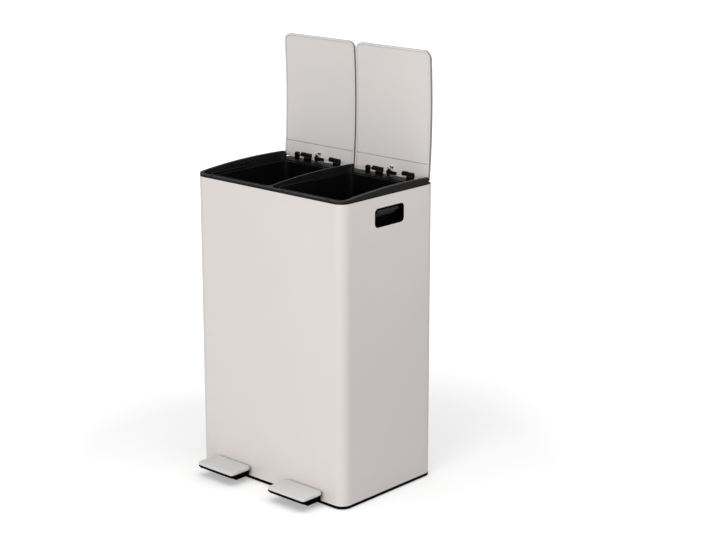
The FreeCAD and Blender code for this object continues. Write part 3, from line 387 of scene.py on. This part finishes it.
casing_paint = finish("casing_paint", COATING, PAINT, bump=0.25, distance=0.00004,
                      drift=SHEET_DRIFT)
lid_paint = finish("lid_paint", COATING, LID_PAINT, bump=0.25, distance=0.00004,
                   drift=SHEET_DRIFT)
pedal_paint = finish("pedal_paint", COATING, PEDAL_PAINT, bump=0.3, distance=0.00005,
                     drift=0.02)
frame_plastic = finish("frame_plastic", GRAIN, FRAME_BLACK, bump=0.4, distance=0.00005,
                       specular=0.24, low_roughness=0.36, high_roughness=0.5)
hinge_plastic = finish("hinge_plastic", GRAIN, HINGE_BLACK, bump=0.3, distance=0.00004,
                       specular=0.1, low_roughness=0.3, high_roughness=0.45)
bucket_plastic = finish("bucket_plastic", GRAIN, BUCKET_BLACK, bump=0.4,
                        distance=0.00005, specular=0.14, low_roughness=0.35,
                        high_roughness=0.5)
base_plastic = finish("base_plastic", GRAIN, BASE_BLACK, bump=0.4, distance=0.00005,
                      specular=0.02, low_roughness=0.5, high_roughness=0.65)
dipped_steel = finish("dipped_steel", COATING, LID_PAINT, bump=0.25, distance=0.00004,
                      specular=0.2, drift=SHEET_DRIFT)
faded(dipped_steel, HINGE_BLACK, LID_PAINT, (0.0, 0.0, 1.0), DIP_LINE,
      DIP_LINE + DIP_BLEND)
# The lid pans carry painted shade where their surface turns away from the Y direction.
pan_paint = shaded_edge_finish("pan_paint", LID_PAINT, LID_EDGE_SHADE)
grip_rubber = finish("grip_rubber", GRAIN, RUBBER_BLACK, bump=0.5, distance=0.00008,
                     low_roughness=0.7, high_roughness=0.85)
bright_steel = finish("bright_steel", BRUSHED, STEEL, bump=0.2, distance=0.00002,
                      metallic=1.0, roughness=0.15)
lever_steel = finish("lever_steel", GRAIN, FRAME_BLACK, bump=0.3, distance=0.00004,
                     low_roughness=0.35, high_roughness=0.5)

NODE_FINISH = {
    "outer_casing": casing_paint,
    "top_frame": frame_plastic,
    "base_frame": base_plastic,
    "base_floor": base_plastic,
    "foot_ring": base_plastic,
    "grip_ring": grip_rubber,
    "base_screws": bright_steel,
    "lid_buffers": grip_rubber,
    "handle_cup_left": cup_painted_light_finish(-1),
    "handle_cup_right": cup_painted_light_finish(1),
    "damper": hinge_plastic,
    "hinge_pins": bright_steel,
    "lever_pin": bright_steel,
    "lid_skin": lid_paint,
    "lid_liner": lid_paint,
    "hinge_rail": lid_paint,
    "lid_knuckles": hinge_plastic,
    "lifter_arm": dipped_steel,
    "arm_rivets": hinge_plastic,
    "push_rod": lever_steel,
    "rod_tip": hinge_plastic,
    "rod_foot": hinge_plastic,
    "pedal_cover": pedal_paint,
    "pedal_body": base_plastic,
    "pedal_lever": lever_steel,
    "inner_bucket": bucket_plastic,
    "bucket_bail": bucket_plastic,
}


def plain_name(node):
    for side, _ in SIDES:
        node = node.removesuffix("_" + side)
    return node


for name, obj in NODES.items():
    obj.data.materials.clear()
    obj.data.materials.append(NODE_FINISH.get(name) or NODE_FINISH[plain_name(name)])

# ---------------------------------------------------------------- modelling by hand
SIDE = 206.0 * MM
FRONT = -139.2 * MM
REAR = 139.2 * MM
CORNER = 22.0 * MM
CASING_TOP = 630.0 * MM
ARCH_RADIUS = 1600.0 * MM
ARCH_PEAK = 645.8 * MM
ARCH_PEAK_Y = 41.8 * MM
HINGE_Y = 118.6 * MM
HINGE_Z = 643.0 * MM
LID_SWING = math.radians(92.0)
WELL_INNER = 2.0 * MM
WELL_OUTER = 195.0 * MM
WELL_FRONT = -129.2 * MM
WELL_REAR = 102.6 * MM
LEDGE_TOP = 626.0 * MM
DECK_TOP = 631.0 * MM
WALL_END = 118.1 * MM
SKIRT_BOTTOM = 612.0 * MM
TALL = 700.0 * MM
FAR = 1.0
OVERLAP = 1.0 * MM
ROUND_STEPS = 10
ARCH_STEPS = 1400
SHARP_ANGLE = math.radians(40)
SMOOTH_ANGLE = math.radians(35)
UPWARD = 0.9


def select_only(obj):
    bpy.ops.object.select_all(action="DESELECT")
    bpy.context.view_layer.objects.active = obj
    obj.select_set(True)


def pick(obj, kind, test):
    """Selects the edges by their ends, or the faces by their normal, in edit mode."""
    select_only(obj)
    bpy.ops.object.mode_set(mode="EDIT")
    bpy.ops.mesh.select_all(action="DESELECT")
    bpy.ops.object.mode_set(mode="OBJECT")
    mesh = obj.data
    bpy.context.tool_settings.mesh_select_mode = (False, kind == "EDGE", kind == "FACE")
    if kind == "EDGE":
        for edge in mesh.edges:
            a, b = (mesh.vertices[i].co for i in edge.vertices)
            edge.select = test(a, b)
    else:
        for face in mesh.polygons:
            face.select = test(face.normal)
    bpy.ops.object.mode_set(mode="EDIT")


def bevel_picked(width, steps):
    bpy.ops.mesh.bevel(offset=width, segments=steps, affect="EDGES")
    bpy.ops.object.mode_set(mode="OBJECT")


def block(name, x0, x1, y0, y1, z0, z1, front=0.0, rear=None):
    """A block with its front and rear upright edges rounded."""
    rear = front if rear is None else rear
    bpy.ops.mesh.primitive_cube_add(size=1, location=(
        (x0 + x1) / 2, (y0 + y1) / 2, (z0 + z1) / 2))
    obj = bpy.context.object
    obj.name = name
    obj.scale = (x1 - x0, y1 - y0, z1 - z0)
    bpy.ops.object.transform_apply(location=True, rotation=True, scale=True)
    middle = (y0 + y1) / 2
    for radius, ahead in ((front, True), (rear, False)):
        if radius <= 0:
            continue
        pick(obj, "EDGE", lambda a, b: abs(a.z - b.z) > (z1 - z0) / 2
             and (a.y < middle) == ahead)
        bevel_picked(radius, ROUND_STEPS)
    return obj


def drum(name, radius, length, place, steps):
    """A cylinder that lies along X."""
    bpy.ops.mesh.primitive_cylinder_add(
        radius=radius, depth=length, location=place, rotation=(0, math.pi / 2, 0),
        vertices=steps)
    obj = bpy.context.object
    obj.name = name
    bpy.ops.object.transform_apply(location=True, rotation=True, scale=True)
    return obj


def combine(obj, other, how):
    """Applies a boolean of obj with other, and removes other."""
    select_only(obj)
    step = obj.modifiers.new("combine", "BOOLEAN")
    step.operation = how
    step.solver = "EXACT"
    step.object = other
    bpy.ops.object.modifier_apply(modifier=step.name)
    mesh = other.data
    bpy.data.objects.remove(other)
    bpy.data.meshes.remove(mesh)
    return obj


def under_arch(rise):
    """Everything below the arched top raised by rise."""
    return drum("arch", ARCH_RADIUS + rise, 1.0,
                (0, ARCH_PEAK_Y, ARCH_PEAK - ARCH_RADIUS), ARCH_STEPS)


def smooth():
    bpy.ops.object.shade_smooth_by_angle(angle=SMOOTH_ANGLE)


def soften(obj, width, steps=2):
    """Rounds every sharp edge a little and shades the result."""
    select_only(obj)
    step = obj.modifiers.new("soften", "BEVEL")
    step.width = width
    step.segments = steps
    step.limit_method = "ANGLE"
    step.angle_limit = SHARP_ANGLE
    bpy.ops.object.modifier_apply(modifier=step.name)
    bpy.ops.object.mode_set(mode="EDIT")
    bpy.ops.mesh.select_all(action="SELECT")
    bpy.ops.mesh.normals_make_consistent(inside=False)
    bpy.ops.object.mode_set(mode="OBJECT")
    smooth()
    return obj


def clad(obj, material, body, slot, *replaced):
    """Gives a piece its finish and its body, and hides the nodes it stands in for; the
    slot is not used.
    """
    obj.data.materials.clear()
    obj.data.materials.append(material)
    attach(obj, body)
    if replaced:
        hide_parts(*replaced)


# ---------------------------------------------------------------- top frame
LEDGE_WIDTH = 5.0 * MM
OUTER_LEDGE = 13.0 * MM
OPENING_CORNER = 12.0 * MM
SKIRT_INSET = 1.2 * MM
GAP_HEIGHT = 1.2 * MM
GAP_DEPTH = 1.0 * MM
LIP_DROP = 4.6 * MM
LIP_WIDTH = 3.0 * MM
RIDGE_OVERRUN = 3.0 * MM
FRAME_ROUND = 0.5 * MM
LID_MIDDLE = 102.0 * MM
ROD_X = 3.0 * MM
ROD_Y = HINGE_Y - 9.0 * MM
SLOT_HALF = 7.0 * MM
SLOT_FRONT = ROD_Y - 4.5 * MM
SLOT_REAR = HINGE_Y - 2 * MM
FRAME_KNUCKLES_MM = ((-35.2, -20.0), (49.2, 64.0))
KNUCKLE_RADIUS = 4.2 * MM
KNUCKLE_FRONT = HINGE_Y - 7.0 * MM
KNUCKLE_REAR = HINGE_Y + 0.5 * MM
KNUCKLE_SLOPE = 4.0 * MM
KNUCKLE_ROUND = 0.35 * MM
BARREL_STEPS = 40


def well_block(sign, inset, outer_inset, z0, z1, corner):
    x0, x1 = WELL_INNER + inset, WELL_OUTER - outer_inset
    if sign < 0:
        x0, x1 = -x1, -x0
    return block("well", x0, x1, WELL_FRONT + inset, WELL_REAR - inset, z0, z1, corner)


def knuckle_block(middle, start, end):
    """A barrel on a web that slopes down to the deck in front of it."""
    x0, x1 = middle + start * MM, middle + end * MM
    web = block("frame_knuckle", x0, x1, KNUCKLE_FRONT, KNUCKLE_REAR,
                DECK_TOP - OVERLAP, HINGE_Z)
    pick(web, "EDGE", lambda a, b: max(a.y, b.y) < HINGE_Y
         and min(a.z, b.z) > DECK_TOP)
    bevel_picked(KNUCKLE_SLOPE, 1)
    barrel = drum("barrel", KNUCKLE_RADIUS, x1 - x0,
                  ((x0 + x1) / 2, HINGE_Y, HINGE_Z), BARREL_STEPS)
    return soften(combine(web, barrel, "UNION"), KNUCKLE_ROUND)


def frame_shell():
    """The arched rim and the skirt, with a shadow gap between rim and casing."""
    body = block("frame_moulding", -SIDE, SIDE, FRONT, REAR, CASING_TOP, TALL, CORNER)
    combine(body, under_arch(0), "INTERSECT")
    skirt = block("skirt", -SIDE + SKIRT_INSET, SIDE - SKIRT_INSET, FRONT + SKIRT_INSET,
                  REAR - SKIRT_INSET, SKIRT_BOTTOM, CASING_TOP + OVERLAP,
                  CORNER - SKIRT_INSET)
    combine(body, skirt, "UNION")
    gap = block("gap", -FAR, FAR, -FAR, FAR, CASING_TOP, CASING_TOP + GAP_HEIGHT)
    core = block("core", -SIDE + GAP_DEPTH, SIDE - GAP_DEPTH, FRONT + GAP_DEPTH,
                 REAR - GAP_DEPTH, 0, FAR, CORNER - GAP_DEPTH)
    return combine(body, combine(gap, core, "DIFFERENCE"), "DIFFERENCE")


def cut_well(body, sign):
    """One well: the bay behind it, its ledge, its opening, its lip and the rod's slot."""
    x0, x1 = sorted((sign * WELL_INNER, sign * WELL_OUTER))
    combine(body, block("bay", x0, x1, WELL_REAR, FAR, DECK_TOP, FAR), "DIFFERENCE")
    combine(body, well_block(sign, 0, 0, LEDGE_TOP, FAR, OPENING_CORNER), "DIFFERENCE")
    combine(body, well_block(sign, LEDGE_WIDTH, OUTER_LEDGE, 0, FAR,
                             OPENING_CORNER - LEDGE_WIDTH), "DIFFERENCE")
    lip_x0, lip_x1 = sorted((sign * WELL_INNER, sign * (WELL_OUTER + LIP_WIDTH)))
    lip = block("lip", lip_x0, lip_x1, WELL_FRONT - LIP_WIDTH, WALL_END + OVERLAP,
                LEDGE_TOP, TALL, OPENING_CORNER + LIP_WIDTH, 0)
    combine(lip, under_arch(-LIP_DROP), "DIFFERENCE")
    combine(body, lip, "DIFFERENCE")
    x = sign * LID_MIDDLE + ROD_X
    combine(body, block("slot", x - SLOT_HALF, x + SLOT_HALF, SLOT_FRONT, SLOT_REAR,
                        0, FAR), "DIFFERENCE")


def top_frame():
    body = frame_shell()
    behind = block("behind", -FAR, FAR, WALL_END, FAR, DECK_TOP, FAR)
    combine(body, behind, "DIFFERENCE")
    for _, sign in SIDES:
        cut_well(body, sign)
    ridge = block("ridge", -WELL_INNER, WELL_INNER, WELL_FRONT - RIDGE_OVERRUN,
                  WALL_END, SKIRT_BOTTOM, TALL)
    combine(ridge, under_arch(0), "INTERSECT")
    combine(body, ridge, "UNION")
    soften(body, FRAME_ROUND)
    clad(body, frame_plastic, "casing", "frame_plastic", "top_frame")
    for _, sign in SIDES:
        for start, end in FRAME_KNUCKLES_MM:
            piece = knuckle_block(sign * LID_MIDDLE, start, end)
            clad(piece, hinge_plastic, "casing", "frame_plastic")


top_frame()


# ---------------------------------------------------------------- lids
LID_FRONT = -137.7 * MM
LID_REAR = 126.9 * MM
LID_HALF = 100.0 * MM
LID_CORNER = 17.0 * MM
LID_REAR_CORNER = 3.0 * MM
LID_RISE = 1.0 * MM
LID_HEIGHT = 6.4 * MM
LID_ROUND = 2.2 * MM
LID_ROUND_STEPS = 5
HEM_WIDTH = 4.0 * MM
HEM_THICKNESS = 0.8 * MM
HOLLOW_INSET = 3.0 * MM
HOLLOW_HEIGHT = 4.4 * MM
PANEL_GAP = 0.5 * MM
PANEL_LOW = 1.15 * MM
PANEL_HIGH = 3.0 * MM
CREASE_SPAN = (91.5 * MM, 92.6 * MM)
POCKET_RADIUS = 4.8 * MM
POCKET_STEPS = 48
POCKET_SPANS_MM = ((-35.8, -19.4), (48.6, 64.6), (-48.6, -35.4), (33.4, 49.0),
                   (-66.6, -54.9))


def opened(obj):
    """Swings a lid piece drawn shut up to where it stands open."""
    hinge = Vector((0, HINGE_Y, HINGE_Z))
    obj.matrix_world = (Matrix.Translation(hinge) @ Matrix.Rotation(-LID_SWING, 4, "X")
                        @ Matrix.Translation(-hinge))
    select_only(obj)
    bpy.ops.object.transform_apply(location=True, rotation=True, scale=True)
    return obj


def lid_slab(name, middle, inset, low, high):
    """The lid's outline drawn in by inset, kept between two heights above the arch."""
    slab = block(name, middle - LID_HALF + inset, middle + LID_HALF - inset,
                 LID_FRONT + inset, LID_REAR - inset, SKIRT_BOTTOM, TALL,
                 LID_CORNER - inset, max(LID_REAR_CORNER - inset, 0))
    combine(slab, under_arch(high), "INTERSECT")
    return combine(slab, under_arch(low), "DIFFERENCE")


def cut_pockets(obj, middle):
    """Room for the knuckles and the damper along the hinge."""
    for start, end in POCKET_SPANS_MM:
        place = (middle + (start + end) / 2 * MM, HINGE_Y, HINGE_Z)
        pocket = drum("pocket", POCKET_RADIUS, (end - start) * MM, place, POCKET_STEPS)
        combine(obj, pocket, "DIFFERENCE")


def lid_pan(middle):
    """Pressed steel pan with a rounded edge and a hem turned in all round."""
    pan = lid_slab("lid_pan", middle, 0, LID_RISE, LID_RISE + LID_HEIGHT)
    soften(pan, LID_ROUND, LID_ROUND_STEPS)
    inside = lid_slab("inside", middle, HOLLOW_INSET, LID_RISE + HEM_THICKNESS,
                      LID_RISE + HOLLOW_HEIGHT)
    combine(pan, inside, "DIFFERENCE")
    mouth = lid_slab("mouth", middle, HEM_WIDTH, 0, LID_RISE + 2 * HEM_THICKNESS)
    combine(pan, mouth, "DIFFERENCE")
    cut_pockets(pan, middle)
    smooth()
    return opened(pan)


def lid_panel(middle):
    """Inner panel, parted from the hem and from the hinge rail by narrow gaps."""
    panel = lid_slab("lid_panel", middle, HEM_WIDTH + PANEL_GAP, PANEL_LOW, PANEL_HIGH)
    combine(panel, block("crease", -FAR, FAR, *CREASE_SPAN, 0, FAR), "DIFFERENCE")
    cut_pockets(panel, middle)
    smooth()
    return opened(panel)


for side, sign in SIDES:
    clad(lid_pan(sign * LID_MIDDLE), pan_paint, "lid_" + side, "lid_paint",
         "lid_skin_" + side)
    clad(lid_panel(sign * LID_MIDDLE), lid_paint, "lid_" + side, "lid_paint",
         "lid_liner_" + side)


# ---------------------------------------------------------------- pedals
PEDAL_MIDDLE = 103.0 * MM
PEDAL_HALF = 52.0 * MM
PEDAL_FRONT = -200.2 * MM
PEDAL_REAR = -141.7 * MM
PEDAL_TOP = 31.0 * MM
PEDAL_EDGE = 25.0 * MM
PEDAL_PLATE = 1.2 * MM
PEDAL_ROUND = 2.8 * MM
PEDAL_ROUND_STEPS = 6
PEDAL_FRONT_CORNER = 6.0 * MM
PEDAL_REAR_CORNER = 12.0 * MM


def tread(middle):
    """Pressed tread with a rounded upper edge, open below."""
    x0, x1 = middle - PEDAL_HALF, middle + PEDAL_HALF
    cover = block("tread", x0, x1, PEDAL_FRONT, PEDAL_REAR, PEDAL_EDGE, PEDAL_TOP,
                  PEDAL_FRONT_CORNER, PEDAL_REAR_CORNER)
    pick(cover, "FACE", lambda normal: normal.z > UPWARD)
    bevel_picked(PEDAL_ROUND, PEDAL_ROUND_STEPS)
    hollow = block("hollow", x0 + PEDAL_PLATE, x1 - PEDAL_PLATE, PEDAL_FRONT + PEDAL_PLATE,
                   PEDAL_REAR - PEDAL_PLATE, 0, PEDAL_TOP - PEDAL_PLATE,
                   PEDAL_FRONT_CORNER - PEDAL_PLATE, PEDAL_REAR_CORNER - PEDAL_PLATE)
    combine(cover, hollow, "DIFFERENCE")
    smooth()
    return cover


for side, sign in SIDES:
    clad(tread(sign * PEDAL_MIDDLE), pedal_paint, "pedal_" + side, "pedal_paint",
         "pedal_cover_" + side)


# ---------------------------------------------------------------- floor, light, camera
FLOOR_SIZE = 16.0
FLOOR_GREY = 0.82
LIFT_REACH = (0.5, 1.6)
LIFT_LEVELS = (0.30, 0.9)
WHITE = (1.0, 1.0, 1.0)


def floor():
    """White ground that grows lighter to the eye away from the bin."""
    bpy.ops.mesh.primitive_plane_add(size=FLOOR_SIZE)
    plane = bpy.context.object
    plane.name = "floor"
    material = bpy.data.materials.new("floor_white")
    material.use_nodes = True
    tree = material.node_tree
    shader = tree.nodes["Principled BSDF"]
    shader.inputs["Base Color"].default_value = opaque((FLOOR_GREY,) * 3)
    shader.inputs["Roughness"].default_value = 1.0
    shader.inputs["Specular IOR Level"].default_value = 0.0
    path = tree.nodes.new("ShaderNodeLightPath")
    away = tree.nodes.new("ShaderNodeVectorMath")
    away.operation = "LENGTH"
    wire(tree, piece_coords(tree), away.inputs[0])
    level = range_node(tree, away.outputs["Value"], LIFT_REACH, LIFT_LEVELS)
    lift = tree.nodes.new("ShaderNodeMath")
    lift.operation = "MULTIPLY"
    wire(tree, level.outputs["Result"], lift.inputs[1])
    wire(tree, path.outputs["Is Camera Ray"], lift.inputs[0])
    shader.inputs["Emission Color"].default_value = opaque(WHITE)
    wire(tree, lift.outputs[0], shader.inputs["Emission Strength"])
    plane.data.materials.append(material)


def world(strength, seen):
    """White surroundings with one strength as a light and another to the eye."""
    surroundings = bpy.data.worlds.new("studio")
    SCENE.world = surroundings
    surroundings.use_nodes = True
    tree = surroundings.node_tree
    background = tree.nodes["Background"]
    path = tree.nodes.new("ShaderNodeLightPath")
    mix = tree.nodes.new("ShaderNodeMix")
    mix.data_type = "FLOAT"
    mix.inputs["A"].default_value = strength
    mix.inputs["B"].default_value = seen
    wire(tree, path.outputs["Is Camera Ray"], mix.inputs["Factor"])
    background.inputs["Color"].default_value = opaque(WHITE)
    wire(tree, mix.outputs["Result"], background.inputs["Strength"])


def softbox(name, place, target, size, power):
    data = bpy.data.lights.new(name, "AREA")
    data.shape = "RECTANGLE"
    data.size, data.size_y = size
    data.energy = power
    lamp = bpy.data.objects.new(name, data)
    SCENE.collection.objects.link(lamp)
    lamp.location = place
    direction = Vector(target) - Vector(place)
    lamp.rotation_euler = direction.to_track_quat("-Z", "Y").to_euler()


def photo_camera():
    data = bpy.data.cameras.new("photo_view")
    data.sensor_width = SENSOR_WIDTH
    data.sensor_fit = "HORIZONTAL"
    data.lens = PHOTO_FOCAL_PIXELS * SENSOR_WIDTH / PHOTO_WIDTH
    camera = bpy.data.objects.new("photo_view", data)
    SCENE.collection.objects.link(camera)
    camera.location = CAMERA_PLACE
    camera.rotation_euler = (
        math.radians(90 - CAMERA_PITCH), 0.0, math.radians(CAMERA_YAW))
    SCENE.camera = camera


floor()
world(strength=0.40, seen=1.0)
softbox("overhead", place=(0.0, -0.4, 2.8), target=(0, -0.1, 0.3), size=(2.4, 2.4),
        power=32)
softbox("front", place=(0.8, -3.1, 0.9), target=(0, 0, 0.25), size=(1.6, 1.8), power=41)
softbox("side", place=(0.8, 0.1, 1.3), target=(0.2, 0, 0.7), size=(0.4, 0.4), power=2.8)
photo_camera()
SCENE.view_settings.view_transform = "Standard"
